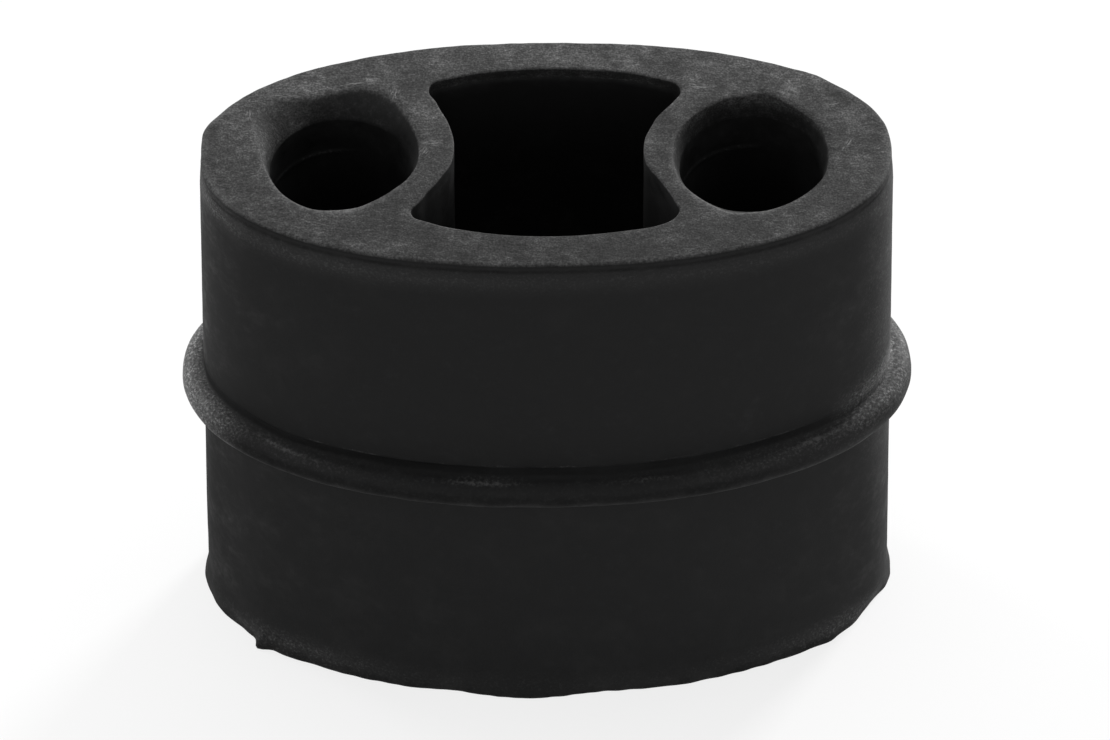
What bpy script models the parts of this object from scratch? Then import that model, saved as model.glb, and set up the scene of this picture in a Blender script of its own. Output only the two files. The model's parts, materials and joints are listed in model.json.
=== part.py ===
"""Exhaust hanger: one block of black moulded rubber.

The block is an oval in plan. Two round bores run through it from end face to end
face, one for the rod on the car and one for the rod on the silencer. Between them
an hourglass opening lets the block stretch, and leaves two straps, front and back.
A rounded rib runs round the outside near half height.

The block stands on its flat lower face, with the origin at the middle of that face.
X runs along the oval, from one bore to the other, and Z runs along the bores.
"""

import math

import bmesh
import bpy

MM = 0.001

# Bores
bore_diameter = 11.5 * MM
bore_spacing = 32.6 * MM
mouth_flare = 0.6 * MM
mouth_depth = 1.8 * MM

# Walls, each where it is thinnest at half height
end_wall = 5.75 * MM
flank_wall = 6.75 * MM
web_wall = 3.0 * MM
strap_wall = 3.4 * MM

# The block, which leans in from its lower face to its upper one. The drafts say how
# far its ends and flanks lean, from half height to either face.
body_height = 51.5 * MM
end_draft = 0.25 * MM
flank_draft = 0.5 * MM
upper_edge_round = 0.35 * MM

# How full the oval is: 2 is an ellipse, and more is squarer
lower_fullness = 2.0
upper_fullness = 2.18

# Moulding lip round the lower face
lip_proud = 0.15 * MM
lip_height = 1.4 * MM

# Rib round the outside
rib_proud = 1.75 * MM
rib_band = 2.6 * MM
rib_below_middle = 0.45 * MM

# Hourglass opening
opening_arc_radius = 31.0 * MM
opening_corner_round = 1.2 * MM
opening_edge_round = 0.4 * MM

# How far a cutter reaches past the face it cuts
cut_past = 2.0 * MM

# Steps along each kind of curve
oval_steps = 80
rib_steps = 8
edge_steps = 3
bore_steps = 32
strap_arc_steps = 12
web_arc_steps = 10
corner_steps = 4

# Edges that turn by more than this are shaded sharp, in degrees
sharp_turn = 35

# Sizes that follow from the ones above
bore_radius = bore_diameter / 2
bore_x = bore_spacing / 2
half_length = bore_x + bore_radius + end_wall
half_depth = bore_radius + flank_wall
opening_half_depth = half_depth - strap_wall
web_arc_radius = bore_radius + web_wall
rib_z = body_height / 2 - rib_below_middle

rubber_colour = (0.022, 0.022, 0.023, 1.0)
rubber_roughness = 0.7


def clear_scene():
    """Start from an empty scene."""
    for old in list(bpy.data.objects):
        bpy.data.objects.remove(old, do_unlink=True)


def arc(centre, radius, start, end, steps):
    """Points on an arc, in plan, without its last point."""
    points = []
    for step in range(steps):
        angle = start + (end - start) * step / steps
        x = centre[0] + radius * math.cos(angle)
        y = centre[1] + radius * math.sin(angle)
        points.append((x, y))
    return points


def signed_power(value, power):
    """A power of a number's size that keeps the number's sign."""
    return math.copysign(abs(value) ** power, value)


def oval(offset, z):
    """Outline of the block at a height, moved outward by an offset.

    It is a superellipse. Going up, its half sizes shrink by the drafts and it
    changes from the lower fullness to the upper one.
    """
    rise = z / body_height
    lean = 1 - 2 * rise
    long_half = half_length + end_draft * lean + offset
    short_half = half_depth + flank_draft * lean + offset
    power = 2 / (lower_fullness + (upper_fullness - lower_fullness) * rise)
    points = []
    for step in range(oval_steps):
        turn = 2 * math.pi * step / oval_steps
        x = long_half * signed_power(math.cos(turn), power)
        y = short_half * signed_power(math.sin(turn), power)
        points.append((x, y))
    return points


def circle_outline(x):
    """Outline of a bore centred at x: a circle of the same size at every height."""
    def outline(offset, z):
        return arc((x, 0), bore_radius + offset, 0, 2 * math.pi, bore_steps)
    return outline


def circles_meet(x_a, y_a, radius_a, x_b, y_b, radius_b):
    """The meeting point of two circles that lies at the smaller x."""
    dx = x_b - x_a
    dy = y_b - y_a
    apart = math.hypot(dx, dy)
    along = (radius_a ** 2 - radius_b ** 2 + apart ** 2) / (2 * apart)
    across = math.sqrt(radius_a ** 2 - along ** 2)
    candidates = []
    for side in (-1, 1):
        x = x_a + (along * dx + side * across * dy) / apart
        y = y_a + (along * dy - side * across * dx) / apart
        candidates.append((x, y))
    return min(candidates)


def hourglass(offset, z):
    """Outline of the middle opening, the same at every height, moved outward by an offset.

    The long sides are shallow arcs behind the straps. The short sides bulge in
    round the bores, so that each web has one thickness. A fillet joins them.
    """
    strap_radius = opening_arc_radius + offset
    strap_y = opening_half_depth - opening_arc_radius
    web_radius = web_arc_radius - offset
    fillet = opening_corner_round + offset
    fillet_x, fillet_y = circles_meet(0, strap_y, strap_radius - fillet,
                                      bore_x, 0, web_radius + fillet)
    strap_angle = math.atan2(fillet_y - strap_y, fillet_x)
    web_angle = math.atan2(fillet_y, fillet_x - bore_x)
    to_web = math.atan2(-fillet_y, bore_x - fillet_x)

    points = []
    points += arc((bore_x, 0), web_radius, 2 * math.pi - web_angle, web_angle, web_arc_steps)
    points += arc((fillet_x, fillet_y), fillet, to_web, strap_angle, corner_steps)
    points += arc((0, strap_y), strap_radius, strap_angle, math.pi - strap_angle, strap_arc_steps)
    points += arc((-fillet_x, fillet_y), fillet, math.pi - strap_angle, math.pi - to_web, corner_steps)
    points += arc((-bore_x, 0), web_radius, math.pi - web_angle, web_angle - math.pi, web_arc_steps)
    points += arc((-fillet_x, -fillet_y), fillet, math.pi + to_web, math.pi + strap_angle, corner_steps)
    points += arc((0, -strap_y), strap_radius, math.pi + strap_angle, 2 * math.pi - strap_angle,
                  strap_arc_steps)
    points += arc((fillet_x, -fillet_y), fillet, -strap_angle, -to_web, corner_steps)
    return points


def loft(name, outline, profile):
    """A closed solid: the outline at each offset and height of the profile, joined up."""
    shape = bmesh.new()
    rings = []
    for offset, z in profile:
        rings.append([shape.verts.new((x, y, z)) for x, y in outline(offset, z)])
    for low, high in zip(rings, rings[1:]):
        for here, (a, b) in enumerate(zip(low, high)):
            after = (here + 1) % len(low)
            shape.faces.new((a, low[after], high[after], b))
    shape.faces.new(list(reversed(rings[0])))
    shape.faces.new(rings[-1])
    mesh = bpy.data.meshes.new(name)
    shape.to_mesh(mesh)
    shape.free()
    mesh.shade_smooth()
    mesh.set_sharp_from_angle(angle=math.radians(sharp_turn))
    solid = bpy.data.objects.new(name, mesh)
    bpy.context.scene.collection.objects.link(solid)
    return solid


def outer_profile():
    """Offset and height of the outer wall, from the lower face up."""
    points = [(lip_proud, 0), (0, lip_height)]
    for step in range(rib_steps + 1):
        turn = math.pi * step / rib_steps
        points.append((rib_proud * math.sin(turn), rib_z - rib_band / 2 * math.cos(turn)))
    for step in range(edge_steps + 1):
        turn = math.pi / 2 * step / edge_steps
        inset = upper_edge_round * (1 - math.cos(turn))
        points.append((-inset, body_height - upper_edge_round * (1 - math.sin(turn))))
    return points


def mouth_profile(flare, depth):
    """Offset and height of a through cut with the same rounded mouth at both faces."""
    lower = [(flare, -cut_past)]
    for step in range(edge_steps + 1):
        turn = math.pi / 2 * step / edge_steps
        lower.append((flare * (1 - math.sin(turn)), depth * (1 - math.cos(turn))))
    upper = [(offset, body_height - z) for offset, z in reversed(lower)]
    return lower + upper


def cut(body, cutter):
    """Take a cutter's shape out of the body, and hide the cutter."""
    cutter.hide_render = True
    cutter.display_type = 'WIRE'
    removal = body.modifiers.new(cutter.name, 'BOOLEAN')
    removal.operation = 'DIFFERENCE'
    removal.solver = 'EXACT'
    removal.object = cutter


def rubber():
    """Matt black rubber."""
    material = bpy.data.materials.new("black_rubber")
    material.use_nodes = True
    shader = material.node_tree.nodes["Principled BSDF"]
    shader.inputs["Base Color"].default_value = rubber_colour
    shader.inputs["Roughness"].default_value = rubber_roughness
    shader.inputs["Metallic"].default_value = 0.0
    material.diffuse_color = rubber_colour
    return material


def build():
    """Make the block and cut its bores and its opening."""
    clear_scene()
    body = loft("rubber_body", oval, outer_profile())
    body.data.materials.append(rubber())
    for name, x in (("left_bore_cut", -bore_x), ("right_bore_cut", bore_x)):
        cut(body, loft(name, circle_outline(x), mouth_profile(mouth_flare, mouth_depth)))
    edge = mouth_profile(opening_edge_round, opening_edge_round)
    cut(body, loft("opening_cut", hourglass, edge))


build()
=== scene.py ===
# %% [markdown]
# # A rubber exhaust hanger, dressed
#
# A car's silencer hangs on blocks like this one: black rubber, moulded in one piece, with a
# bore for the car's rod and a bore for the silencer's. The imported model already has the
# right shape and size. This lesson makes the surface that a camera sees: a fine mesh with
# the marks of moulding and trimming, and one procedural material for the rubber.
#
# The model is loaded first, as a fixed frame. Everything below is measured from it.

import json
import math

import bpy
import numpy as np
from mathutils import Matrix, Vector, geometry, noise

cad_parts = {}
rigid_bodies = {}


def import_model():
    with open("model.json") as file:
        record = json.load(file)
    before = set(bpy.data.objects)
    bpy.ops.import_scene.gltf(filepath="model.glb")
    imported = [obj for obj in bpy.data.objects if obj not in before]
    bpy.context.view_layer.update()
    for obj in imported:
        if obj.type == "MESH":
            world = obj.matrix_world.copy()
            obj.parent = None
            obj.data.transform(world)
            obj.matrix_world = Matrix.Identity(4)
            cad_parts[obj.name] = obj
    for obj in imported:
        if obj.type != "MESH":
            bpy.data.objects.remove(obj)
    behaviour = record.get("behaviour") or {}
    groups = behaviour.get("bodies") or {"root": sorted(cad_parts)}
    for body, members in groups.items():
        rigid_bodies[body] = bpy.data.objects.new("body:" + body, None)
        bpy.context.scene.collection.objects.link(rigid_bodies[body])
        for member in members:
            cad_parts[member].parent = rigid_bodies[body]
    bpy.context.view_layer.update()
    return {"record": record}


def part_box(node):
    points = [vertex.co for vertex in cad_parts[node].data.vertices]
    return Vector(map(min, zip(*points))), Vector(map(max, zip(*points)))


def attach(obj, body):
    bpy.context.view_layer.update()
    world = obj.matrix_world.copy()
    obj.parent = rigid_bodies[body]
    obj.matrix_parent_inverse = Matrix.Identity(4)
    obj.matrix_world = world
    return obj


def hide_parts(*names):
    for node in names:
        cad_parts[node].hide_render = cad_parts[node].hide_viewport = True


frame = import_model()

# %% [markdown]
# ## Sizes
#
# Rubber parts are thought of in millimetres, so the mesh is worked out in millimetres and
# turned into metres when it is made. The overall sizes and the place of the bores are read
# from the frame, and the walls between the holes are named here. Reading what the frame
# knows, and naming only the rest, keeps the surface and the solid from drifting apart.

# %% Sizes of the block, in millimetres
MM = 0.001

rib_proud = 1.75
body_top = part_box("rubber_body")[1]
body_height = body_top.z / MM
half_length = body_top.x / MM - rib_proud
half_depth = body_top.y / MM - rib_proud

openings = frame["record"]["physics"]["openings"]
opening_boxes = {opening["name"]: np.array(opening["box_m"]) / MM for opening in openings}
bore_x = opening_boxes["right_bore"][:, 0].mean()
bore_radius = 5.75

web_wall = 3.0
strap_wall = 3.4
print(f"Block: {2 * half_length:.1f} x {2 * half_depth:.1f} x {body_height:.1f} mm,",
      f"bores at x = {bore_x:.1f}")

# %% [markdown]
# ## Helpers
#
# Most marks on the part are smooth bumps and fades, so these few functions are used all
# through the lesson. They work on single numbers and on whole grids of numbers.

# %% Helpers for smooth bumps, fades and rows
def bump(value, centre, reach):
    """1 at the centre, fading to 0 over about twice the reach on both sides."""
    return np.exp(-((value - centre) / reach) ** 2)


def fade(value, start, end):
    """0 before start, 1 after end, smooth between them. It falls where end lies before start."""
    share = np.clip((value - start) / (end - start), 0, 1)
    return share * share * (3 - 2 * share)


def round_bump(angles, centre, reach):
    """A bump round a ring, with angles in degrees."""
    return bump((angles - centre + 180) % 360 - 180, 0, reach)


def levels(start, end, step):
    """Even levels from start up to end, without the last one."""
    count = max(1, round((end - start) / step))
    return list(start + (end - start) * np.arange(count) / count)


def ripple(values, size, depth, seed):
    """Smooth unevenness along a line, for each value in millimetres."""
    flat = np.ravel(values)
    rough = [noise.noise((v / size, seed, 0.5)) for v in flat]
    return depth * np.reshape(rough, np.shape(values))


# %% [markdown]
# ## The outlines
#
# Seen from above, three kinds of outline make the part. The block is an oval a little
# squarer than an ellipse, which a superellipse draws with one extra number. The bores are
# circles. The middle opening is an hourglass: shallow arcs along the straps, and arcs
# round the bores so that each web keeps one thickness. Each could be a hand-drawn curve,
# but a formula gives the same outline at any offset, which rounded edges need. The oval
# also leans in from the lower face to the upper one, so that it leaves its mould.

# %% Outline of the block at any height
end_draft = 0.25
flank_draft = 0.5
lower_fullness = 2.0
upper_fullness = 2.18


def oval(turns, height, offset=0.0):
    """Points of the oval at a height, pushed out by an offset. Turns are in radians."""
    rise = height / body_height
    lean = 1 - 2 * rise
    power = 2 / (lower_fullness + (upper_fullness - lower_fullness) * rise)
    x = np.sign(np.cos(turns)) * np.abs(np.cos(turns)) ** power
    y = np.sign(np.sin(turns)) * np.abs(np.sin(turns)) ** power
    x = x * (half_length + end_draft * lean + offset)
    y = y * (half_depth + flank_draft * lean + offset)
    return np.stack([x, y], axis=-1)


# %% Outline of the middle opening
opening_half_depth = half_depth - strap_wall
strap_arc_radius = 31.0
corner_round = 0.85
corner_steps = 8
strap_steps = 64
web_steps = 48


def arc(centre_x, centre_y, radius, start, end, steps):
    """Points on an arc, without its last point."""
    angles = start + (end - start) * np.arange(steps) / steps
    x = centre_x + radius * np.cos(angles)
    y = centre_y + radius * np.sin(angles)
    return np.stack([x, y], axis=-1)


def hourglass(offset=0.0):
    """Points of the opening's outline, pushed out into the rubber by an offset."""
    strap_y = opening_half_depth - strap_arc_radius
    strap_r = strap_arc_radius + offset
    web_r = bore_radius + web_wall - offset
    round_r = corner_round + offset
    far_r = strap_r - round_r
    near_r = web_r + round_r
    apart = math.hypot(bore_x, strap_y)
    along = (far_r ** 2 - near_r ** 2 + apart ** 2) / (2 * apart)
    across = math.sqrt(far_r ** 2 - along ** 2)
    corner_x = (along * bore_x + across * strap_y) / apart
    corner_y = strap_y - (along * strap_y - across * bore_x) / apart
    at_strap = math.atan2(corner_y - strap_y, corner_x)
    at_web = math.atan2(corner_y, corner_x - bore_x)
    to_web = math.atan2(-corner_y, bore_x - corner_x)
    half = np.concatenate([
        arc(corner_x, corner_y, round_r, to_web, at_strap, corner_steps),
        arc(0, strap_y, strap_r, at_strap, math.pi - at_strap, strap_steps),
        arc(-corner_x, corner_y, round_r, math.pi - at_strap, math.pi - to_web, corner_steps),
        arc(-bore_x, 0, web_r, math.pi - at_web, at_web - math.pi, web_steps)])
    return np.concatenate([half, -half])


print(f"Opening: {np.ptp(hourglass()[:, 0]):.1f} x {np.ptp(hourglass()[:, 1]):.1f} mm")

# %% [markdown]
# The core that made this opening sat a little askew, and its edge isn't true. Each corner
# is nudged along the oval by its own amount, and both long sides lie slightly nearer the
# middle. Then a list of marks pulls single places of the edge aside: each has a place, a
# reach, and how far it moves along and across the oval. The two largest ones thin the
# webs in front.

# %% Nudge the opening's corners and edge
corner_nudges = {(-1, 1): 1.05, (1, 1): 0.35, (-1, -1): -0.4, (1, -1): 0.0}
waist_nudge = 0.15
back_nudge = -0.05
front_nudge = 0.28
corner_fade_x = (2.0, 9.0)
corner_fade_y = (1.0, 6.5)
strap_fade_y = (2, 7)
edge_marks = [
    (-9.2, -3.4, 2.0, -0.78, 0.0), (9.4, -3.9, 2.0, 0.94, 0.0), (-8.1, -2.0, 1.0, -0.22, 0.0),
    (8.5, -2.5, 1.1, 0.26, 0.0), (-8.4, 4.7, 1.1, -0.26, 0.0), (-7.4, 1.5, 1.2, 0.17, 0.0),
    (9.8, 5.0, 1.6, 0.38, 0.0), (8.3, 2.8, 1.0, 0.15, 0.0), (-8.6, 7.8, 2.2, 0.0, 0.28),
    (-5.6, 8.6, 1.6, 0.0, 0.12), (6.5, 8.6, 2.0, 0.0, 0.1), (-10.2, -6.9, 1.8, 0.0, 0.38),
    (-7.2, -7.9, 2.2, 0.0, 0.12), (8.4, -7.8, 2.2, 0.0, -0.17), (10.2, -6.9, 0.9, -0.1, 0.2)]


def askew(plan):
    """Move points of the opening as the core sat."""
    x, y = plan[..., 0], plan[..., 1]
    moved_x = x + waist_nudge
    for (side, depth), nudge in corner_nudges.items():
        near = fade(side * x, *corner_fade_x) * fade(depth * y, *corner_fade_y)
        moved_x = moved_x + near * (nudge - waist_nudge)
    moved_y = y + back_nudge * fade(y, *strap_fade_y) + front_nudge * fade(-y, *strap_fade_y)
    moved = np.stack([moved_x, moved_y], axis=-1)
    for mark_x, mark_y, reach, along_it, across_it in edge_marks:
        near = bump(np.hypot(moved_x - mark_x, moved_y - mark_y), 0, reach)
        moved = moved + near[..., None] * np.array([along_it, across_it])
    return moved


# %% [markdown]
# ## Gathering the mesh
#
# The surface is four ring-shaped walls (outside, two bores, opening) and two flat faces.
# A wall is a grid: rows going up, steps going round. Booleans would give the same shape,
# but a grid leaves every vertex in a known place, so marks can be added by formula and
# each vertex can say what it belongs to. Those shares, from 0 to 1, are kept with the
# mesh, and the material reads them to know where dust and wear collect, and where painted
# shade darkens it.

# %% Lists that every wall and face adds to
points = []
faces = []
shares = {"face": [], "specks": [], "edge": [], "inside": [], "crease": []}


def add_points(grid, **given):
    """Keep a grid of points with its shares, and return the points' numbers as a grid."""
    first = sum(len(kept) for kept in points)
    points.append(grid.reshape(-1, 3))
    for name, kept in shares.items():
        kept.append(np.broadcast_to(given.get(name, 0.0), grid.shape[:-1]).reshape(-1))
    return first + np.arange(grid[..., 0].size).reshape(grid.shape[:-1])


def add_wall(numbers, inward=False):
    """Join the rows of a ring-shaped wall with quads."""
    low, high = numbers[:-1], numbers[1:]
    quads = np.stack([low, np.roll(low, -1, 1), np.roll(high, -1, 1), high], axis=-1).reshape(-1, 4)
    faces.extend((quads[:, ::-1] if inward else quads).tolist())


# %% [markdown]
# ## The outer wall
#
# Going up, the wall has a thin moulding lip at the foot, a plain wall, the rib, a narrow
# groove above the rib, more plain wall and a rounded upper edge. One profile of offsets
# and heights describes that, and the oval carries it round. A bevelled curve could do the
# same, but a profile keeps each size a number. The groove matters more than its size
# suggests: with the shade painted into it, it draws the dark line above the rib.

# %% Profile of the outer wall
lip_proud = 0.25
lip_height = 3.2
rib_band = 2.6
rib_below_middle = 0.45
rib_steps = 22
shoulder_fullness = 0.7
groove_band = 1.15
groove_depth = 0.34
groove_shares = (0.1, 0.25, 0.45, 0.65, 0.8, 0.92, 1.0, 1.1)
edge_rows = 6
edge_band = 1.2
shadow_below = 0.75
wall_step = 0.9

rib_height = body_height / 2 - rib_below_middle
rib_low = rib_height - rib_band / 2
rib_high = rib_height + rib_band / 2
profile = [(0.7 * lip_proud, 0.0), (lip_proud, 0.08), (lip_proud, 0.3)]
profile += [(lip_proud * (1 - fade(z, 0.3, lip_height)), z) for z in levels(0.6, lip_height, 0.4)]
profile += [(0.0, z) for z in levels(lip_height, rib_low, wall_step)]
for step in range(rib_steps + 1):
    turn = math.pi * step / rib_steps
    fullness = 1.0 if turn < math.pi / 2 else shoulder_fullness
    rib_offset = rib_proud * math.sin(turn) ** fullness
    profile.append((rib_offset, rib_height - rib_band / 2 * math.cos(turn)))
profile += [(0.0, rib_high + groove_band * share) for share in groove_shares]
above_groove = levels(rib_high + groove_band + 0.3, body_height - edge_band, wall_step)
profile += [(0.0, z) for z in above_groove]
profile += [(0.0, body_height - edge_band), (0.0, body_height - shadow_below)]
profile += edge_rows * [(0.0, body_height)]
wall_offsets, wall_heights = np.array(profile).T
print(f"Outer wall: {len(profile)} rows")

# %% [markdown]
# The foot and the upper edge were trimmed by hand after moulding, so neither follows the
# oval quite. Each mark is a place round the edge, in degrees from the right-hand bore, how
# far it reaches, and how far it stands out (or, where negative, is cut in).

# %% Marks of trimming
upper_marks = [(168, 5, 0.22), (41, 5, 0.15), (0, 12, -0.15), (180, 8, -0.12)]
lower_marks = [
    (-145.6, 2.0, 0.75), (-139, 4, 0.25), (-122, 12, 0.12), (-107, 4, -0.12), (-94, 7, 0.33),
    (-80, 6, -0.13), (-52, 14, -0.04), (-36, 3, 0.22), (-26, 4, 0.1), (-20, 8, -0.5),
    (-13.5, 4, -0.2), (3, 8, 0.06), (174, 8, 0.08), (-170, 6, -0.2), (-156, 6, -0.24)]
upper_mark_reach = 3.0
lower_mark_reach = 2.2
wall_steps = 440

even = np.linspace(0, 2 * math.pi, 4001)
hops = np.diff(oval(even, body_height / 2), axis=0)
along = np.concatenate([[0], np.cumsum(np.linalg.norm(hops, axis=1))])
distances = along[-1] * np.arange(wall_steps) / wall_steps
wall_turns = np.interp(distances, along, even)
wall_degrees = np.degrees(wall_turns)
print(f"Round the oval: {along[-1]:.0f} mm in {wall_steps} steps")

# %% [markdown]
# The offsets gather all that moves the wall in or out: the profile, the marks, fine
# unevenness along both edges, the groove and the rib. The groove's section is steep beside
# the rib and softer above. It is deepest at two places in front and faint at both ends.

# %% Offsets of the outer wall
rows = wall_heights[:, None]
base = np.stack([oval(wall_turns, z) for z in wall_heights])
outward = np.stack([oval(wall_turns, z, 1.0) for z in wall_heights]) - base
to_right, to_left, to_front = base[..., 0], -base[..., 0], -base[..., 1]
at_ends = fade(to_right, 14, 28) + fade(to_left, 22.5, 28.2)
in_front = fade(to_front, -3, 4)

offsets = np.repeat(wall_offsets[:, None], wall_steps, axis=1)
near_top = fade(rows, body_height - upper_mark_reach, body_height)
near_foot = fade(rows, lower_mark_reach, 0)
crisp_from = body_height - 0.5
for marks, near in ((upper_marks, near_top), (lower_marks, near_foot)):
    for centre, reach, proud in marks:
        offsets += proud * round_bump(wall_degrees, centre, reach) * near
offsets += ripple(distances, size=1.1, depth=0.08, seed=3.1) * fade(rows, 1.3, 0.2)
offsets += ripple(distances, size=0.9, depth=0.04, seed=7.4) * fade(rows, crisp_from, body_height)

groove_share = np.clip((rows - rib_high) / groove_band, 0, 1)
groove = groove_share ** 0.35 * (1 - groove_share ** 6)
groove_deepest = round_bump(wall_degrees, -118, 18) + round_bump(wall_degrees, -46, 14)
groove_strength = (0.55 + 0.45 * groove_deepest) * (1 - 0.75 * at_ends)
offsets -= groove_depth * groove * groove_strength
on_rib = ((rows > rib_low) & (rows < rib_high)) * wall_offsets[:, None] / rib_proud
offsets += on_rib * ripple(distances, size=2.3, depth=0.07, seed=11.0)

# %% [markdown]
# Two things change the heights of the rows: the rib thickens upward toward both ends, from
# further in at the right, and the upper edge is crisp at the back and worn rounder in front.

# %% Heights of the outer wall
right_rib_lift = 0.5
left_rib_lift = 0.55
front_edge_round = 0.34
back_edge_round = 0.12

near_rib = fade(rows, rib_low, rib_high) * fade(rows, rib_high + 4, rib_high + 1)
thickened = right_rib_lift * fade(to_right, 5, 27) + left_rib_lift * fade(to_left, 20, 27)
heights = rows + near_rib * thickened
print(f"The rib is up to {thickened.max():.2f} mm thicker at the ends")
edge_round = back_edge_round + (front_edge_round - back_edge_round) * in_front[-1]
edge_turns = np.linspace(0, math.pi / 2, edge_rows)[:, None]
heights[-edge_rows:] -= edge_round * (1 - np.sin(edge_turns))
offsets[-edge_rows:] -= edge_round * (1 - np.cos(edge_turns))
plan = base + outward * offsets[..., None]
outer = np.concatenate([plan, heights[..., None]], axis=-1)

# %% [markdown]
# Hands wiped the dust off the upper face in places. A few round spots, a smear behind the
# right bore and a stretch of the edge at the right show more of the black under it.

# %% Where the dust was wiped off the upper face
wiped_spots = [(-10.8, 9.2, 2.8, 0.42), (12.2, 6.4, 2.6, 0.2), (-26.0, -1.0, 1.6, 0.12)]
smear_x, smear_y = 23.3, 6.0
smear_length, smear_breadth = 2.9, 1.3
wiped_edge_degrees = -13
wiped_edge_reach = 12


def wiped(x, y):
    """How much dust is missing, from 0 to 1."""
    down_slope = (x - smear_x) - (y - smear_y)
    up_slope = (x - smear_x) + (y - smear_y)
    missing = 0.6 * bump(down_slope, 0, smear_length) * bump(up_slope, 0, smear_breadth)
    for spot_x, spot_y, reach, share in wiped_spots:
        missing = missing + share * bump(np.hypot(x - spot_x, y - spot_y), 0, reach)
    along_x = (np.abs(x) / half_length) ** upper_fullness
    along_y = (np.abs(y) / half_depth) ** upper_fullness
    place_round = np.degrees(np.arctan2(y, x))
    margin = round_bump(place_round, wiped_edge_degrees, wiped_edge_reach)
    margin = fade(along_x + along_y, 0.88, 0.96) * margin
    return np.clip(missing + 0.5 * margin, 0, 1)


# %% [markdown]
# Specks are crumbs of flash and dust. They lie thickest on the rib at the left end of the
# oval, on the wall above the rib and beside it at the right, and thinly in a band under the
# front of the upper edge and along the foot. Beside the rib at the right end, the pale specks
# also paint the light that falls on that end. The numbers in these cells are strengths from
# 0 to 1, and places and reaches in millimetres, or in degrees round the oval.

# %% Specks on the outer wall
rib_middle_share = 0.03
left_of_middle = 1 - 0.93 * fade(to_right, 0, 10)
rib_specks = on_rib ** 0.5 * np.maximum(at_ends * left_of_middle, rib_middle_share)
crumb_places = fade(to_right, 8, 18) + 0.6 * fade(to_left, 10, 18)
crumbs = 0.1 * bump(rows, rib_high - 0.2, 0.35) * crumb_places
band_strength = 0.07 + 0.07 * fade(to_left, -5, 20)
band_under_edge = bump(rows, body_height - 2.0, 0.9) * in_front * band_strength
above_rib = 0.5 * bump(rows, rib_high + 1.2, 1.6) * fade(to_right, 22, 27)
beside_rib = (1 - on_rib) * fade(rows, rib_low - 12, rib_low)
# Painted light: pale specks make the lit right end of the wall paler.
right_end_specks_and_light = 0.12 * fade(to_right, 24.2, 27.8) * beside_rib
left_corner = 0.25 * bump(rows, body_height - 1.0, 1.3) * fade(to_left, 23.5, 27)
foot_grains = 0.2 * round_bump(wall_degrees, -138, 18) + 0.2 * round_bump(wall_degrees, -30, 18)
along_foot = bump(rows, 1.2, 1.2) * in_front * (0.05 + foot_grains)
wall_specks = rib_specks + crumbs + band_under_edge + above_rib
wall_specks = wall_specks + right_end_specks_and_light + left_corner + along_foot

# %% [markdown]
# Four edges are pale: the parting line on the rib, where two halves of the mould met, and
# the lip above the groove, both rubbed, a line at the turn below the rib, and the rubbed
# upper edge. The first three come and go round the oval, so their strength ripples.

# %% Pale edges of the outer wall
line_wander = ripple(distances, size=5.0, depth=0.05, seed=31.0)
line_strength = 0.38 + ripple(distances, size=6.0, depth=0.6, seed=37.0)
parting_line = line_strength * bump(rows, rib_high - 0.08 + line_wander, 0.08)
lip_strength = 0.4 + ripple(distances, size=3.5, depth=1.0, seed=53.0)
upper_lip = lip_strength * bump(rows, rib_high + 1.06 * groove_band, 0.12) * groove_strength
turn_strength = 0.55 + 0.2 * at_ends + ripple(distances, size=4.0, depth=0.5, seed=43.0)
lower_turn = turn_strength * bump(rows, rib_low + 0.5, 0.16)
upper_edge = 0.5 * bump(heights, body_height - 0.05, 0.12)
wall_edges = np.maximum.reduce([parting_line, upper_lip, lower_turn, upper_edge])

# %% [markdown]
# Dark places are painted shade: the groove, a line under the upper edge, the foot, darkest
# in two stretches, the middle of the rib, and the left end of the wall below the rib.

# %% Painted shade on the outer wall
left_lip_share = fade(to_left, 12, 20) * fade(groove_share, 0.3, 0.7)
groove_shade = groove * groove_strength * (1 - 0.8 * left_lip_share)
edge_shadow = bump(rows, body_height - shadow_below, 0.3) * in_front
foot_shade_places = round_bump(wall_degrees, -135, 22) + 0.8 * round_bump(wall_degrees, -40, 22)
foot_painted_shade = 0.6 * bump(rows, 0.7, 0.7) * np.clip(foot_shade_places, 0, 1) + 0.35 * bump(rows, 0.3, 0.3)
rib_flank_shade = bump(rows, rib_height + 0.05, 0.7) * (1 - at_ends)
low_left_shade = 0.3 * fade(to_left, 24.5, 27.5) * fade(rows, rib_low, rib_low - 3)

# %% Gather the outer wall
# The crease and inside shares carry this painted shade into the material.
on_faces = fade(heights, body_height - 0.3, body_height - 0.05) + fade(rows, 0.08, 0.0)
outer_numbers = add_points(
    outer,
    face=on_faces * (1 - wiped(outer[..., 0], outer[..., 1])),
    specks=wall_specks,
    edge=wall_edges,
    crease=np.clip(groove_shade + 0.8 * edge_shadow + foot_painted_shade + 0.8 * rib_flank_shade, 0, 1),
    inside=low_left_shade)
add_wall(outer_numbers)

# %% [markdown]
# ## The bores
#
# Each bore opens into the upper face with a soft mouth. The right one is widest in front.
# The left one was torn and trimmed wider at the back, so it has two lobes with a notch
# between them. Such edges follow no formula, so each is given by marks all round, smoothed
# between them. A mouth is described by three numbers at every angle: how far it flares, how
# deep it goes and how round it is. A round mouth leaves the face softly, and a plain one
# leaves it with a crisp edge. A fine ring, partly worn away, runs round each bore a little
# below its mouth, where two parts of the mould met.

# %% Shape of the four mouths
bore_steps = 128
mouth_steps = 10
bore_angles = 360 * np.arange(bore_steps) / bore_steps
jagged = ripple(bore_angles, size=4.0, depth=0.14, seed=21.0)


def round_the_bore(marks):
    """A smooth value at every angle, through marks of angle and value."""
    angles, values = zip(*marks)
    even = np.interp(bore_angles, angles, values, period=360)
    return (np.roll(even, 1) + 2 * even + np.roll(even, -1)) / 4


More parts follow.
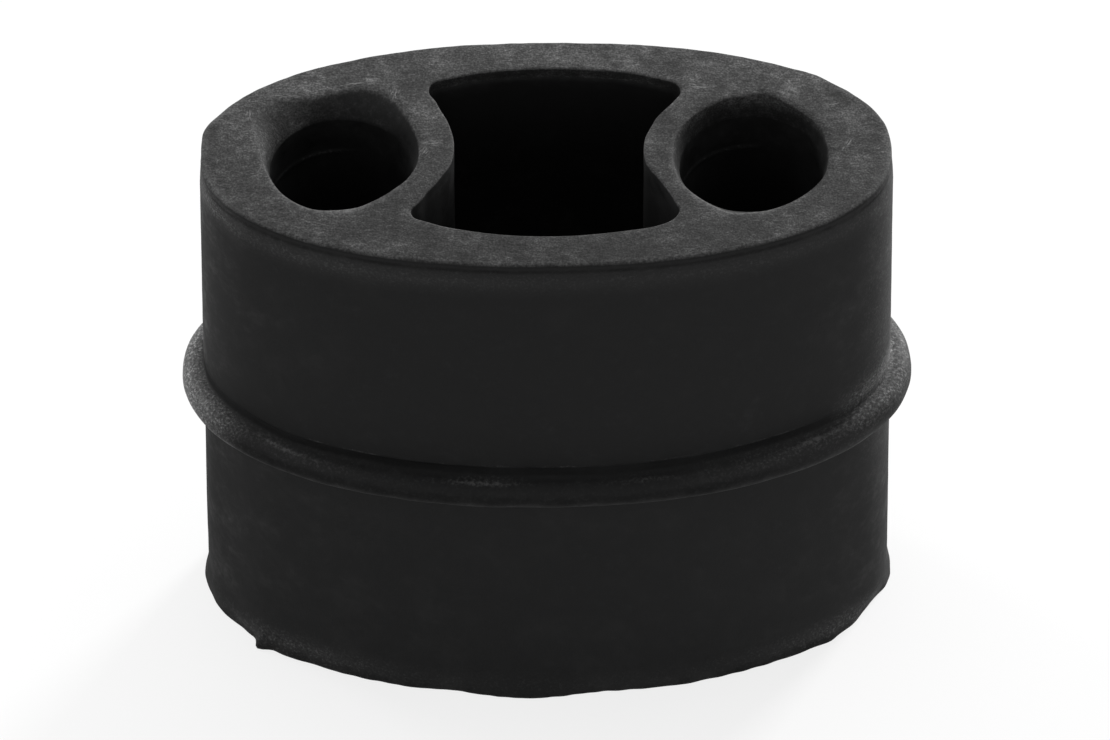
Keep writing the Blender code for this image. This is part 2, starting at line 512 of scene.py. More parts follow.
left_flare = round_the_bore([
    (12, 0.6), (29, 0.7), (43, 1.15), (50, 1.5), (56, 1.5), (65, 1.85), (73, 1.9), (79, 1.65),
    (86, 1.42), (97, 1.1), (106, 0.85), (112, 0.95), (118, 1.4), (123, 1.85), (130, 2.35),
    (140, 2.6), (148, 2.55), (156, 2.1), (164, 1.5), (173, 0.95), (184, 0.6), (197, 0.45),
    (205, 0.42), (226, 0.47), (249, 0.46), (257, 0.3), (266, 0.15), (276, 0.08), (286, 0.0),
    (297, -0.16), (309, -0.2), (321, -0.14), (334, 0.15), (350, 0.4)])
left_flare += jagged * (round_bump(bore_angles, 120, 30) + round_bump(bore_angles, 50, 20))
left_depth = 0.4 + 1.7 * fade(left_flare, 0.15, 0.7)
left_round = 0.3 + 0.5 * round_bump(bore_angles, 170, 24)

right_flare = round_the_bore([
    (0, 0.35), (15, 0.3), (32, 0.2), (46, 0.08), (60, 0.2), (72, 0.5), (81, 0.65), (90, 0.32),
    (100, 0.22), (109, 0.28), (121, 0.08), (132, 0.2), (145, 0.32), (165, 0.5), (180, 0.6),
    (209, 0.9), (222, 0.86), (233, 0.88), (243, 1.0), (252, 1.25), (261, 1.05), (269, 0.9),
    (277, 0.82), (286, 0.66), (296, 0.56), (307, 0.5), (320, 0.52), (336, 0.62)])
right_flare += jagged * round_bump(bore_angles, 30, 40)
right_depth = 2.2 - 1.2 * round_bump(bore_angles, -95, 50)
right_round = np.full(bore_steps, 0.35)

plain_flare = np.full(bore_steps, 0.6)
plain_depth = np.full(bore_steps, 1.8)
throat_gap = 0.15


def mouth(flare, depth, roundness):
    """Offsets and depths below the face, from just under the throat out to the face."""
    turn = np.linspace(math.pi / 2, 0, mouth_steps)[:, None]
    share = turn / (math.pi / 2)
    offset = flare * (roundness * (1 - np.sin(turn)) + (1 - roundness) * (1 - share))
    below = depth * (roundness * (1 - np.cos(turn)) + (1 - roundness) * share)
    return np.concatenate([0 * offset[:1], offset]), np.concatenate([below[:1] + throat_gap, below])


# %% Make the bores
ring_below = 5.7
ring_proud = 0.12
bore_step = 1.2
ring_arc = fade(bore_angles, 70, 95) * fade(bore_angles, 178, 150)
mouth_end_rows = (10.5, 8.5)
ring_wear = 0.42
shaded_share = 0.35
deep_shade_share = 0.68


def add_bore(x, upper_mouth, dust_and_light_share, rim_wear_and_highlight, rim_fade):
    """Make one bore, and return the numbers of its lowest and highest ring."""
    low_offset, low_below = mouth(plain_flare, plain_depth, 1.0)
    high_offset, high_below = mouth(*upper_mouth)
    ring_height = body_height - ring_below
    middle = levels(2.4, ring_height - 0.5, bore_step)
    middle += levels(ring_height - 0.4, ring_height + 0.4, 0.1)
    middle += [ring_height + 0.5, ring_height + 1.2]
    straight = np.repeat(np.array(middle)[:, None], bore_steps, axis=1)
    heights = np.concatenate([low_below[::-1], straight, body_height - high_below])
    ring = ring_proud * bump(heights, ring_height, 0.16) * ring_arc
    offset = np.concatenate([low_offset[::-1], 0 * straight, high_offset]) - ring
    angles = np.radians(bore_angles)
    out = np.stack([np.cos(angles), np.sin(angles)], axis=-1)
    plan = np.array([x, 0]) + out * (bore_radius + offset)[..., None]
    grid = np.concatenate([plan, heights[..., None]], axis=-1)
    depth_in = np.minimum(heights, body_height - heights)
    row = np.arange(len(heights))[:, None]
    from_face = np.minimum(row, len(heights) - 1 - row)
    on_rim = fade(from_face, rim_fade, 0)
    in_mouth = fade(from_face, *mouth_end_rows)
    shaded_side = shaded_share * round_bump(bore_angles, 0, 42) * fade(from_face, 0, 2)
    worn_ring = ring_wear * bump(heights, ring_height, 0.3) * ring_arc
    # Painted shade: the right side of each mouth and the deep walls darken through the inside
    # share.
    numbers = add_points(
        grid,
        face=(1 - dust_and_light_share) * on_rim + dust_and_light_share * in_mouth,
        edge=rim_wear_and_highlight * bump(from_face, 0.6, 1.1) + worn_ring,
        inside=np.maximum(shaded_side, deep_shade_share * fade(depth_in, 3.5, 14)))
    add_wall(numbers, inward=True)
    return numbers[0], numbers[-1]


# %% [markdown]
# Dust lies thickest in the torn lobes of the left mouth and thinly in the right one. The
# same shares paint light: each mouth is paler on its left side and darker on its right. The
# rims are pale most in front, partly rubbed and partly a painted highlight. The face's own
# dust runs a few rows down into each mouth, and how many rows changes round the rim.

# %% The left and right bores
left_dust_and_light = 0.26 + 0.5 * round_bump(bore_angles, 142, 30) - 0.2 * round_bump(bore_angles, 0, 38)
right_dust_and_light = 0.34 + 0.1 * round_bump(bore_angles, 165, 40) - 0.2 * round_bump(bore_angles, -5, 38)
# Painted highlight: the rims are made paler in front, on top of their wear.
left_wear_and_highlight = 0.5 + 0.4 * round_bump(bore_angles, -80, 75)
right_wear_and_highlight = 0.35 + 0.5 * round_bump(bore_angles, -110, 50)
left_rim_fade = 1.4 + 5 * round_bump(bore_angles, 165, 32) + 2 * round_bump(bore_angles, 225, 25)
right_rim_fade = 3 + 5 * round_bump(bore_angles, 95, 60)
left_mouth = (left_flare, left_depth, left_round)
right_mouth = (right_flare, right_depth, right_round)
left_bore = add_bore(-bore_x, left_mouth, left_dust_and_light, left_wear_and_highlight, left_rim_fade)
right_bore = add_bore(bore_x, right_mouth, right_dust_and_light, right_wear_and_highlight, right_rim_fade)
print(f"Bores: flare {right_flare.min():.2f} to {left_flare.max():.2f} mm")

# %% [markdown]
# ## The middle opening
#
# The hourglass opening has small rounded rims. On its back wall the mould left a shallow
# step just under the rim, which shows as a paler band.

# %% Make the opening
opening_round = 0.18
rim_rows = 6
band_depth = 1.05
band_step = 0.12

opening_base = askew(hourglass())
opening_out = askew(hourglass(1.0)) - opening_base
rim_turns = np.linspace(0, math.pi / 2, rim_rows)
rim_below = opening_round * (1 - np.cos(rim_turns))
rim_offset = opening_round * (1 - np.sin(rim_turns))
band_low = body_height - band_depth
band_rows = [band_low - 0.12, band_low, band_low + 0.1]
opening_heights = np.concatenate([
    rim_below, levels(0.7, body_height - 1.7, wall_step), [body_height - 1.5],
    band_rows, [body_height - 0.65], body_height - rim_below[::-1]])
straight = np.zeros(len(opening_heights) - 2 * rim_rows)
rim_offsets = np.concatenate([rim_offset, straight, rim_offset[::-1]])
at_back = fade(opening_base[:, 1], 6.0, 8.2)
step_out = fade(opening_heights, band_low - 0.1, band_low + 0.08)
opening_offsets = rim_offsets[:, None] + band_step * step_out[:, None] * at_back
opening_plan = opening_base + opening_out * opening_offsets[..., None]
level_rows = np.broadcast_to(opening_heights[:, None, None], opening_plan.shape[:-1] + (1,))
opening_grid = np.concatenate([opening_plan, level_rows], axis=-1)

# %% Shares of the opening
opening_rows = opening_heights[:, None]
depth_in = np.minimum(opening_rows, body_height - opening_rows)
dusty_band = 0.42 * at_back * fade(opening_rows, body_height - 1.1, body_height - 0.95)
band_edge = 0.2 * at_back * bump(opening_rows, band_low, 0.1)
# Painted shade: the opening's walls darken with depth through the inside share.
opening_numbers = add_points(
    opening_grid,
    face=np.maximum(fade(depth_in, 0.3, 0.0), dusty_band),
    edge=0.5 * bump(depth_in, 0.08, 0.1) + band_edge,
    inside=0.4 * fade(depth_in, 0.9, 2.0) + 0.56 * fade(depth_in, 1.5, 13))
add_wall(opening_numbers, inward=True)
print(f"Opening: {len(opening_heights)} rows of {len(opening_base)} steps")

# %% [markdown]
# ## The flat faces
#
# A flat face with three holes has no natural grid. Filling it with one large polygon would
# shade badly and couldn't be uneven, so it gets scattered points and a Delaunay
# triangulation between its four edges, which keeps its triangles evenly shaped.

# %% Points inside an outline
def inside_outline(places, outline):
    """For each place, whether it lies inside a closed outline."""
    crossings = np.zeros(len(places), int)
    for (ax, ay), (bx, by) in zip(outline, np.roll(outline, -1, axis=0)):
        spans = (ay > places[:, 1]) != (by > places[:, 1])
        if ay != by:
            edge_x = ax + (places[:, 1] - ay) * (bx - ax) / (by - ay)
            crossings += spans & (places[:, 0] < edge_x)
    return crossings % 2 == 1


# %% Fill a face between its edges
face_spacing = 0.5
row_spacing = 0.87 * face_spacing
scatter = 0.14
edge_clearance = 0.3


def grown(ring, clearance):
    """A ring grown away from its middle, or shrunk where the clearance is negative."""
    from_middle = ring - ring.mean(axis=0)
    return ring + clearance * from_middle / np.linalg.norm(from_middle, axis=1)[:, None]


def add_face(edge_rings, height, upward, seed):
    """Triangulate the face between the outer ring, which comes first, and the holes."""
    known = np.concatenate(points)
    rings = [known[ring][:, :2] for ring in edge_rings]
    rng = np.random.default_rng(seed)
    x, y = np.meshgrid(np.arange(-half_length, half_length, face_spacing),
                       np.arange(-half_depth - 1, half_depth + 1, row_spacing))
    x[1::2] += face_spacing / 2
    places = np.stack([x.ravel(), y.ravel()], axis=-1)
    places += rng.uniform(-scatter, scatter, places.shape)
    keep = inside_outline(places, grown(rings[0], -edge_clearance))
    for hole in rings[1:]:
        keep &= ~inside_outline(places, grown(hole, edge_clearance))
    places = places[keep]
    flat = np.concatenate(rings + [places])
    edges, start = [], 0
    for ring in rings:
        count = len(ring)
        edges += [(start + i, start + (i + 1) % count) for i in range(count)]
        start += count
    made, _, triangles, origins, _, _ = geometry.delaunay_2d_cdt(
        [Vector(place) for place in flat], edges, [], 1, 1e-6)
    order = np.array([kept[0] for kept in origins])
    triangles = order[np.array(triangles)]
    in_hole = [inside_outline(flat[triangles].mean(axis=1), ring) for ring in rings[1:]]
    triangles = triangles[~np.any(in_hole, axis=0)]
    middle_points = np.concatenate([places, np.full((len(places), 1), height)], axis=-1)
    dust_left = 1 - wiped(places[:, 0], places[:, 1]) if upward else 1.0
    numbers = np.concatenate(edge_rings + [add_points(middle_points, face=dust_left)])
    corners = numbers[triangles]
    faces.extend((corners if upward else corners[:, ::-1]).tolist())
    added = len(made) - len(flat)
    print(f"Face at {height:.1f} mm: {len(triangles)} triangles, {added} new points")


upper_rings = [outer_numbers[-1], left_bore[1], right_bore[1], opening_numbers[-1]]
lower_rings = [outer_numbers[0], left_bore[0], right_bore[0], opening_numbers[0]]
add_face(upper_rings, body_height, upward=True, seed=1)
add_face(lower_rings, 0.0, upward=False, seed=2)

# %% [markdown]
# ## Unevenness and the finished mesh
#
# Moulded rubber is never quite true. Every vertex is moved a few hundredths of a
# millimetre by a smooth 3-D noise, the same for neighbours, so that walls and faces stay
# joined. The foot isn't moved up or down, so the block still stands flat. Blender's vector
# noise starts at another place in each run unless it is seeded, so it is seeded first. Then
# the mesh is made, in metres, with the shares as attributes.

# %% Make the rubber body
swell_size = 9.0
swell = 0.05
dimple_size = 1.6
dimple = 0.014
flat_foot = 2.0
swell_seed = 3
noise.seed_set(swell_seed)


def uneven(place):
    """How far a place on the surface is moved, as a vector in millimetres."""
    slow = noise.noise_vector(Vector(place) / swell_size) * swell
    quick = noise.noise_vector(Vector(place) / dimple_size) * dimple
    return slow + quick


places = np.concatenate(points)
moves = np.array([uneven(place) for place in places])
moves[:, 2] *= fade(places[:, 2], 0.0, flat_foot)
mesh = bpy.data.meshes.new("rubber_body_skin")
mesh.from_pydata(((places + moves) * MM).tolist(), [], faces)
mesh.shade_smooth()
for name, kept in shares.items():
    attribute = mesh.attributes.new(name, "FLOAT", "POINT")
    attribute.data.foreach_set("value", np.clip(np.concatenate(kept), 0, 1).astype(np.float32))
rubber_body = bpy.data.objects.new("rubber_body_skin", mesh)
bpy.context.scene.collection.objects.link(rubber_body)
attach(rubber_body, "root")
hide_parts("rubber_body")
triangle_count = sum(len(face) - 2 for face in faces)
print(f"Rubber body: {len(places)} vertices, {triangle_count} triangles")

# %% [markdown]
# ## Building blocks for materials
#
# Materials in Blender are graphs of nodes. The main helpers add a node and fill or link its
# inputs, and start a node group, which is an effect with named inputs and outputs that any
# material can use with its own values.

# %% Node helpers
def add_node(tree, kind, inputs=(), **settings):
    """Add a node. Its inputs are a dict of numbers, or of sockets to link from."""
    node = tree.nodes.new(kind)
    for name, value in settings.items():
        setattr(node, name, value)
    for name, value in dict(inputs).items():
        if isinstance(value, bpy.types.NodeSocket):
            tree.links.new(value, node.inputs[name])
        else:
            node.inputs[name].default_value = value
    return node


def calculate(tree, operation, first, second=0.0, third=0.0):
    """One step of arithmetic, as a socket."""
    settings = {0: first, 1: second, 2: third}
    return add_node(tree, "ShaderNodeMath", settings, operation=operation).outputs[0]


def between(tree, value, start, end, low=0.0, high=1.0):
    """Map a value from the range start to end, smoothly, onto the range low to high."""
    settings = {"Value": value, "From Min": start, "From Max": end, "To Min": low, "To Max": high}
    node = add_node(tree, "ShaderNodeMapRange", settings, interpolation_type="SMOOTHSTEP")
    return node.outputs[0]


def mix_colours(tree, share, first, second, blend="MIX"):
    """Mix two colours by a share."""
    settings = {0: share, 6: first, 7: second}
    node = add_node(tree, "ShaderNodeMix", settings, data_type="RGBA", blend_type=blend)
    return node.outputs[2]


def tone_colour(tree, colour, tone):
    """Make a colour lighter or darker by a tone. A tone of 1 leaves it as it is."""
    return mix_colours(tree, 1.0, colour, tone, blend="MULTIPLY")


def grey(value, warmth=0.0):
    """A grey colour, a little warmer or cooler."""
    return (value * (1 + warmth), value, value * (1 - warmth), 1.0)


# %% Start a node group
def start_group(name, outputs, **inputs):
    """Make a group with a place, and float inputs (or vectors, where one starts as a tuple)."""
    tree = bpy.data.node_groups.new(name, "ShaderNodeTree")
    for socket, default in {"Place": (0.0, 0.0, 0.0), **inputs}.items():
        kind = "NodeSocketVector" if isinstance(default, tuple) else "NodeSocketFloat"
        made = tree.interface.new_socket(socket, in_out="INPUT", socket_type=kind)
        made.default_value = default
    for socket in outputs:
        tree.interface.new_socket(socket, in_out="OUTPUT", socket_type="NodeSocketFloat")
    source = tree.nodes.new("NodeGroupInput").outputs
    return tree, source, tree.nodes.new("NodeGroupOutput").inputs


def use_group(tree, group, place, **inputs):
    """Put a group in a material with its own values, and return its outputs."""
    inputs["Place"] = place
    return add_node(tree, "ShaderNodeGroup", inputs, node_tree=group).outputs


# %% [markdown]
# ## Fibrous dust
#
# The upper face is grey and dry: fine dust and rubbed rubber, drawn into short fibres by
# handling. One noise alone looks like clouds. This group adds four: soft clouds, small
# blotches, fine grains, and fibres, which are noises stretched in three directions.

# %% Fibrous dust group
def plain_noise(tree, place, cells, detail=2.0, roughness=0.5):
    """Noise with a number of cells per millimetre."""
    settings = {"Vector": place, "Scale": cells, "Detail": detail, "Roughness": roughness}
    return add_node(tree, "ShaderNodeTexNoise", settings).outputs[0]


def stretch(tree, place, along_it, across):
    """Scale places, so that a noise on them is drawn out along X."""
    settings = {0: place, 1: (along_it, across, across)}
    return add_node(tree, "ShaderNodeVectorMath", settings, operation="MULTIPLY").outputs[0]


def stretched_noise(tree, place, angle, across, along_it):
    """Noise drawn out in one direction in plan, by cells across and along it per millimetre."""
    settings = {"Vector": place, "Rotation": (0, 0, math.radians(angle))}
    turned = add_node(tree, "ShaderNodeMapping", settings).outputs[0]
    return plain_noise(tree, stretch(tree, turned, along_it, across), 1.0, roughness=0.6)


dust, source, result = start_group(
    "Fibrous dust", ["Tone", "Height"], Clouds=0.3, Blotches=0.3, Grains=0.3, Fibres=0.3)
cells_per_mm = {"Clouds": 0.35, "Blotches": 1.6, "Grains": 6.5}
fibre_kinds = [(3, 6.0, 0.6), (-14, 6.5, 0.8), (20, 7.0, 0.9)]
total = None
for socket, cells in cells_per_mm.items():
    soft = plain_noise(dust, source["Place"], cells, detail=3.0)
    centred = calculate(dust, "SUBTRACT", soft, 0.5)
    part = calculate(dust, "MULTIPLY", centred, source[socket])
    total = part if total is None else calculate(dust, "ADD", total, part)
fibres = None
for angle, across, along_it in fibre_kinds:
    strands = stretched_noise(dust, source["Place"], angle, across, along_it)
    strand = calculate(dust, "SUBTRACT", strands, 0.5)
    fibres = strand if fibres is None else calculate(dust, "MAXIMUM", fibres, strand)
total = calculate(dust, "MULTIPLY_ADD", fibres, source["Fibres"], total)
dust.links.new(calculate(dust, "EXPONENT", total), result["Tone"])
dust.links.new(total, result["Height"])

# %% [markdown]
# ## Granules and ragged edges
#
# The rib and the foot are granular: crumbs of flash and dust caught on the parting line,
# with pits between them. One rough noise makes both, pale where it is high and dark where
# it is low. A second group breaks an even edge share into a ragged one, so that wear
# comes and goes along an edge as it does on a real one.

# %% Granules group
granules, source, result = start_group("Granules", ["Pale", "Dark"], Cells=4.0)
rough = plain_noise(granules, source["Place"], source["Cells"], detail=4.0, roughness=0.7)
granules.links.new(between(granules, rough, 0.5, 0.66), result["Pale"])
granules.links.new(between(granules, rough, 0.48, 0.36), result["Dark"])

# %% Ragged edge group
ragged, source, result = start_group("Ragged edge", ["Mask"], Edge=0.0, Cells=2.5, Cover=0.5)
broken = plain_noise(ragged, source["Place"], source["Cells"], detail=4.0, roughness=0.65)
covered = calculate(ragged, "MULTIPLY", source["Edge"], source["Cover"])
reach = calculate(ragged, "ADD", covered, broken)
mask = calculate(ragged, "MULTIPLY", between(ragged, reach, 0.62, 0.98), source["Edge"])
ragged.links.new(mask, result["Mask"])

# %% [markdown]
# A few places on the upper face were scuffed by something hard. A scuff is a small oval
# patch of short pale strokes: a noise drawn out along the strokes, kept where it is high
# and only near the middle of the patch.

# %% Scuff group
scuff, source, result = start_group(
    "Scuff", ["Mask"], Middle=(0.0, 0.0, 0.0), Length=1.0, Breadth=0.4, Turn=0.0)
ends = {0: source["Place"], 1: source["Middle"]}
away = add_node(scuff, "ShaderNodeVectorMath", ends, operation="SUBTRACT").outputs[0]
turned = add_node(scuff, "ShaderNodeVectorRotate", {"Vector": away, "Angle": source["Turn"]},
                  rotation_type="Z_AXIS", invert=True).outputs[0]
sides = add_node(scuff, "ShaderNodeSeparateXYZ", {0: turned}).outputs
share_along = calculate(scuff, "DIVIDE", sides["X"], source["Length"])
share_across = calculate(scuff, "DIVIDE", sides["Y"], source["Breadth"])
far_along = calculate(scuff, "POWER", share_along, 2.0)
far_across = calculate(scuff, "POWER", share_across, 2.0)
near = between(scuff, calculate(scuff, "ADD", far_along, far_across), 1.0, 0.1)
drawn = stretch(scuff, turned, 1.5, 7.0)
streaks = plain_noise(scuff, drawn, 1.0, detail=4.0, roughness=0.6)
strokes = between(scuff, streaks, 0.46, 0.6)
scuff.links.new(calculate(scuff, "MULTIPLY", strokes, near), result["Mask"])
print("Node groups:", [group.name for group in bpy.data.node_groups])

# %% [markdown]
# ## Black rubber
#
# Rubber is black with carbon, and dull. What makes it look like rubber, and not like black
# paint, is that its shine is broad and weak and that every place has its own grey. The
# material starts from the moulded wall's black, then lays over it the dusty face, the
# specked rib and the pale edges, each where its share says. The face is painted lighter
# toward the back, where more light falls, and a little lighter toward the ends. Numbers
# that are the same all over go straight onto the shader's sockets.

# %% Black rubber: places and shares
black_rubber = bpy.data.materials.new("black_rubber")
black_rubber.use_nodes = True
tree = black_rubber.node_tree
shader = tree.nodes["Principled BSDF"]
in_metres = add_node(tree, "ShaderNodeTexCoord").outputs["Object"]
scaled = add_node(tree, "ShaderNodeVectorMath", {0: in_metres, "Scale": 1 / MM}, operation="SCALE")
place = scaled.outputs[0]
read = {}
for name in shares:
    read[name] = add_node(tree, "ShaderNodeAttribute", attribute_name=name).outputs["Fac"]

# %% Black rubber: the wall and the dusty face
wall_black = 0.0104
face_grey = 0.0445
front_face_light = 0.69
face_light_gains = [(False, "Y", 0.0195), (True, "Y", 0.0085), (True, "X", 0.0035)]
fringe_depth = 0.5
wall_tone = use_group(tree, dust, place, Clouds=2.2, Blotches=1.5, Grains=0.7, Fibres=0.0)
face_tone = use_group(tree, dust, place, Clouds=2.3, Blotches=1.4, Grains=3.0, Fibres=2.3)
wall_colour = tone_colour(tree, grey(wall_black, -0.01), wall_tone["Tone"])
sides = add_node(tree, "ShaderNodeSeparateXYZ", {0: place}).outputs
# Painted light: the face gets lighter toward the back, where more light falls, and toward the ends.
face_light = front_face_light
for both_ways, side, gain in face_light_gains:
    far = calculate(tree, "ABSOLUTE", sides[side]) if both_ways else sides[side]
    face_light = calculate(tree, "MULTIPLY_ADD", far, gain, face_light)
dust_and_light_tone = calculate(tree, "MULTIPLY", face_tone["Tone"], face_light)
face_colour = tone_colour(tree, grey(face_grey), dust_and_light_tone)
fringe = plain_noise(tree, place, 1.7, detail=4.0, roughness=0.6)
fringe = calculate(tree, "MULTIPLY_ADD", fringe, fringe_depth, -fringe_depth / 2)
face_share = between(tree, calculate(tree, "ADD", read["face"], fringe), 0.1, 0.85)
colour = mix_colours(tree, face_share, wall_colour, face_colour)

# %% Black rubber: scuffs on the upper face
scuff_grey = 0.16
scuff_strength = 0.7
scuff_marks = [
    (-20.7, 6.4, 1.7, 0.4, -3), (-12.0, 6.6, 1.0, 0.6, 80), (-14.9, 7.8, 1.6, 0.2, 12),
    (-9.1, 1.2, 1.0, 0.6, 10), (-9.8, 0.2, 0.7, 0.6, 60), (-23.6, 4.4, 0.7, 0.4, 90),
    (22.8, 5.0, 0.9, 0.25, 12), (19.8, 6.5, 0.7, 0.3, -30), (23.9, 0.6, 1.0, 0.25, 60),
    (12.6, 7.0, 1.2, 0.4, 5)]
scuffed = None
for x, y, length, breadth, turn in scuff_marks:
    middle = (x, y, body_height)
    turn = math.radians(turn)
    made = use_group(tree, scuff, place, Middle=middle, Length=length, Breadth=breadth, Turn=turn)
    mark = made["Mask"]
    scuffed = mark if scuffed is None else calculate(tree, "MAXIMUM", scuffed, mark)
scuffed = calculate(tree, "MULTIPLY", scuffed, face_share)
scuffed = calculate(tree, "MULTIPLY", scuffed, scuff_strength)
colour = mix_colours(tree, scuffed, colour, grey(scuff_grey))

# %% Black rubber: the granular rib and the pale edges
granule_grey = 0.43
edge_grey = 0.12
even_dust = 0.27
loose_dust = 0.7
grains = use_group(tree, granules, place, Cells=4.5)
clumps = between(tree, plain_noise(tree, place, 0.9, detail=3.0), 0.3, 0.6, low=0.4)
clumped = calculate(tree, "MULTIPLY", grains["Pale"], clumps)
speck_cover = calculate(tree, "MULTIPLY_ADD", clumped, loose_dust, even_dust)
speck_share = calculate(tree, "MULTIPLY", read["specks"], speck_cover)
colour = mix_colours(tree, speck_share, colour, grey(granule_grey))
# The pale edges are wear, with a painted highlight on the front rims of the bores.
worn = use_group(tree, ragged, place, Edge=read["edge"], Cells=3.5, Cover=0.5)["Mask"]
colour = mix_colours(tree, worn, colour, grey(edge_grey))

# %% [markdown]
# What darkens the rubber comes last: painted shade in creases, which crumbs half fill,
# pits between the granules, and painted shade on the deep walls of the bores and the opening.

# %% Black rubber: painted shade in creases and deep walls, and pits
pit_share = 0.6
crumbs_in_crease = 0.4
shade_and_pit_dark = 0.88
crease_shade = use_group(tree, ragged, place, Edge=read["crease"], Cells=1.6, Cover=0.8)["Mask"]
pitted = between(tree, read["specks"], 0.0, 0.25, high=pit_share)
in_pits = calculate(tree, "MULTIPLY", grains["Dark"], pitted)
left_open = calculate(tree, "MULTIPLY_ADD", grains["Pale"], -crumbs_in_crease, 1.0)
crease_shade = calculate(tree, "MULTIPLY", left_open, crease_shade)
crease_shade = calculate(tree, "MAXIMUM", crease_shade, in_pits)
shade_and_pit_tone = calculate(tree, "MULTIPLY_ADD", crease_shade, -shade_and_pit_dark, 1.0)
deep_shade_tone = calculate(tree, "MULTIPLY_ADD", read["inside"], -1.0, 1.0)
colour = tone_colour(tree, colour, calculate(tree, "MULTIPLY", deep_shade_tone, shade_and_pit_tone))
tree.links.new(colour, shader.inputs["Base Color"])

# %% Black rubber: shine and fine relief
wall_roughness = 0.72
face_rougher = 0.15
tone_rougher = 0.3
deep_rougher = 0.28
shine_level = 0.11
wall_grain = 0.6
face_grain = 0.5
speck_grain = 0.5
grain_height = 0.03
roughness = calculate(tree, "MULTIPLY_ADD", face_share, face_rougher, wall_roughness)
roughness = calculate(tree, "MULTIPLY_ADD", wall_tone["Height"], tone_rougher, roughness)
roughness = calculate(tree, "MULTIPLY_ADD", read["inside"], deep_rougher, roughness)
tree.links.new(roughness, shader.inputs["Roughness"])
shader.inputs["Specular IOR Level"].default_value = shine_level
fine_grain = plain_noise(tree, place, 5.0, detail=4.0, roughness=0.6)
wall_relief = calculate(tree, "MULTIPLY", fine_grain, wall_grain)
face_relief = calculate(tree, "MULTIPLY", face_tone["Height"], face_grain)
relief = calculate(tree, "MULTIPLY_ADD", face_relief, face_share, wall_relief)
relief = calculate(tree, "MULTIPLY_ADD", speck_share, speck_grain, relief)
settings = {"Height": relief, "Strength": 0.5, "Distance": grain_height * MM}
bumps = add_node(tree, "ShaderNodeBump", settings)
tree.links.new(bumps.outputs[0], shader.inputs["Normal"])
rubber_body.data.materials.append(black_rubber)
print(f"Black rubber: {len(tree.nodes)} nodes")

# %% [markdown]
# ## Floor and background
#
# The part stands on a plain pale floor. To the camera the floor is nearly white by its own
# colour: part of it glows evenly and part of it is lit, so a soft shadow stays where the
# block stands. Every other ray sees an ordinary pale floor, which throws light back up on
# the walls. Behind it the world is white to the camera, and gives a soft even light.

# %% Make the floor
floor_size = 3000.0
half = floor_size / 2 * MM
floor_mesh = bpy.data.meshes.new("pale_floor")
corners = [(-half, -half, 0), (half, -half, 0), (half, half, 0), (-half, half, 0)]
floor_mesh.from_pydata(corners, [], [(0, 1, 2, 3)])
floor = bpy.data.objects.new("pale_floor", floor_mesh)
bpy.context.scene.collection.objects.link(floor)
print(f"Floor: {floor_size:.0f} mm square")


# %% Make the floor's material
def seen_as_white(tree):
    """1 for rays from the camera, mirrored rays and rays through glass, else 0."""
    rays = add_node(tree, "ShaderNodeLightPath").outputs
    passed_on = calculate(tree, "MAXIMUM", rays["Is Glossy Ray"], rays["Is Transmission Ray"])
    return calculate(tree, "MAXIMUM", rays["Is Camera Ray"], passed_on)


floor_grey = 0.8
own_glow_share = 0.8
floor_white = bpy.data.materials.new("pale_floor")
floor_white.use_nodes = True
tree = floor_white.node_tree
lit = tree.nodes["Principled BSDF"]
lit.inputs["Base Color"].default_value = grey(floor_grey)
lit.inputs["Roughness"].default_value = 0.9
lit.inputs["Specular IOR Level"].default_value = 0.0
glow_share = calculate(tree, "MULTIPLY", seen_as_white(tree), own_glow_share)
glow = add_node(tree, "ShaderNodeEmission", {"Color": grey(1.0), "Strength": 1.0})
shaders = {0: glow_share, 1: lit.outputs[0], 2: glow.outputs[0]}
even_floor = add_node(tree, "ShaderNodeMixShader", shaders)
tree.links.new(even_floor.outputs[0], tree.nodes["Material Output"].inputs["Surface"])
floor.data.materials.append(floor_white)

# %% Make the world
ambient_level = 0.35
world = bpy.data.worlds.new("white_room")
world.use_nodes = True
bpy.context.scene.world = world
tree = world.node_tree
strength = calculate(tree, "MULTIPLY_ADD", seen_as_white(tree), 1 - ambient_level, ambient_level)
tree.nodes["Background"].inputs["Color"].default_value = grey(1.0)
tree.links.new(strength, tree.nodes["Background"].inputs["Strength"])
print(f"World: {ambient_level} of white as light, and white to the camera")

# %% [markdown]
# ## Lights
#
# A photographer lights black rubber with large soft sources, or it shows nothing. A big
# softbox hangs overhead and a little behind, so that the upper face is the palest. Two
# strips stand to the left and right, behind the block: they brush only the ends of the
# oval, which draws its outline. Their levels are set so that a colour looks about as it
# was written.

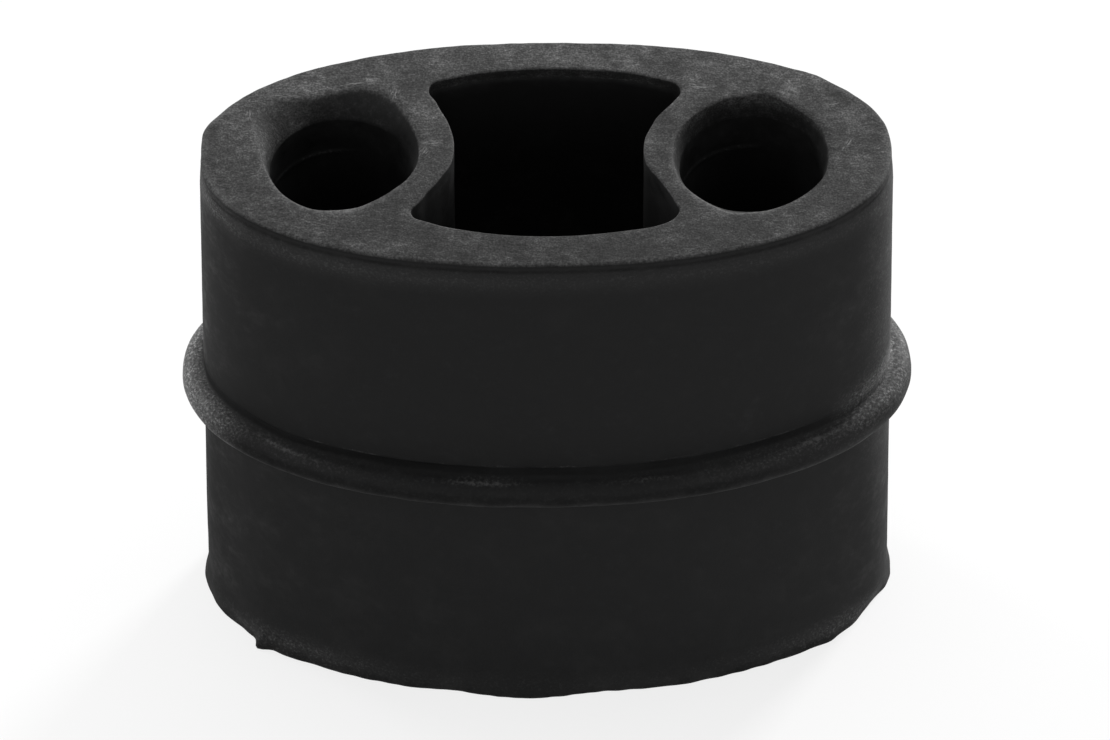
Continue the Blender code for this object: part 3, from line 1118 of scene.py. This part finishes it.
# %% Make the softboxes
def add_softbox(name, place, width, height, level):
    """A soft light aimed at the block. Its level is the light it gives there, facing it."""
    light = bpy.data.lights.new(name, "AREA")
    light.shape = "RECTANGLE"
    light.size = width * MM
    light.size_y = height * MM
    distance = math.dist(place, block_middle) * MM
    light.energy = level * math.pi ** 2 * distance ** 2
    lamp = bpy.data.objects.new(name, light)
    bpy.context.scene.collection.objects.link(lamp)
    lamp.location = Vector(place) * MM
    lamp.rotation_euler = (Vector(place) - Vector(block_middle)).to_track_quat("Z", "Y").to_euler()
    print(f"{name}: {light.energy:.2f} W")


block_middle = (0, 0, body_height / 2)
add_softbox("overhead_softbox", (0, 150, 700), width=600, height=500, level=0.6)
add_softbox("left_strip", (-560, 380, 175), width=150, height=500, level=0.58)
add_softbox("right_strip", (430, 540, 150), width=150, height=500, level=2.2)

# %% [markdown]
# ## Camera
#
# The part is seen from in front and well above, through a long lens, which keeps its sides
# nearly parallel. The camera is placed by where it looks from, how far away it is and how
# far the middle of the block lies from the middle of the picture.

# %% Make the camera
view_elevation = 48.722
view_turn = 0.543
view_roll = -0.169
camera_distance = 900.0
lens_length = 360.0
picture_right = 0.64
picture_up = -0.235

down = math.radians(view_elevation)
aside = math.radians(view_turn)
forward = Vector((
    math.sin(aside) * math.cos(down), math.cos(aside) * math.cos(down), -math.sin(down)))
level_right = Vector((math.cos(aside), -math.sin(aside), 0))
level_up = level_right.cross(forward)
roll = Matrix.Rotation(-math.radians(view_roll), 3, forward)
right = roll @ level_right
up = roll @ level_up
camera_data = bpy.data.cameras.new("photo_camera")
camera_data.lens = lens_length
camera_data.clip_start = 50 * MM
camera_data.clip_end = 20000 * MM
camera = bpy.data.objects.new("photo_camera", camera_data)
bpy.context.scene.collection.objects.link(camera)
turned = Matrix((right, up, -forward)).transposed().to_4x4()
centre = Vector(block_middle) + right * picture_right + up * picture_up - forward * camera_distance
camera.matrix_world = Matrix.Translation(centre * MM) @ turned
bpy.context.scene.camera = camera
bpy.context.scene.view_settings.view_transform = "Standard"
print("Camera at", tuple(round(v, 1) for v in centre), "mm")
